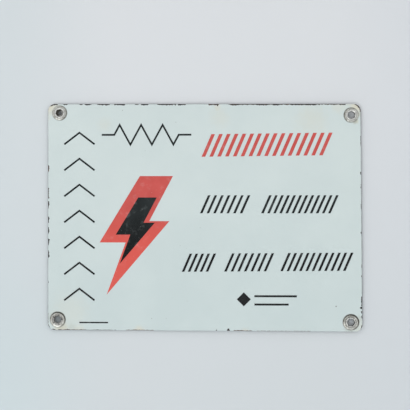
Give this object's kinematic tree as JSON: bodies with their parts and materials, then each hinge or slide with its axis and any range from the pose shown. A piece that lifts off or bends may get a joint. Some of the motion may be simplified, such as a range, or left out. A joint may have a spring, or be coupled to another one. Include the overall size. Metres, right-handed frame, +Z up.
{
  "type": "enamel danger sign",
  "caption": "Enamelled steel warning plate with fired hazard print and a set eyelet with a pressed washer in each corner, for screwing to a wall, gate or pole bracket.",
  "frame": {"origin": "middle of the plate, halfway through its thickness", "axes": "face towards -Y, +Z up, +X to the right as the face is read"},
  "size_m": [0.35, 0.0046, 0.252],
  "materials": {
    "white_enamel": "glossy fired enamel, chipped and rusted along the edges",
    "red_enamel": "glossy fired enamel, slightly faded",
    "black_enamel": "glossy fired enamel",
    "eyelet_metal": "dull, weathered",
    "washer_metal": "dull, stained, dark in the joints"
  },
  "bodies": {
    "root": {"enamel_plate": "white_enamel", "red_print": "red_enamel", "black_print": "black_enamel", "eyelet_top_left": "eyelet_metal", "eyelet_top_right": "eyelet_metal", "eyelet_bottom_left": "eyelet_metal", "eyelet_bottom_right": "eyelet_metal", "washer_top_left": "washer_metal", "washer_top_right": "washer_metal", "washer_bottom_left": "washer_metal", "washer_bottom_right": "washer_metal"}
  },
  "joints": []
}
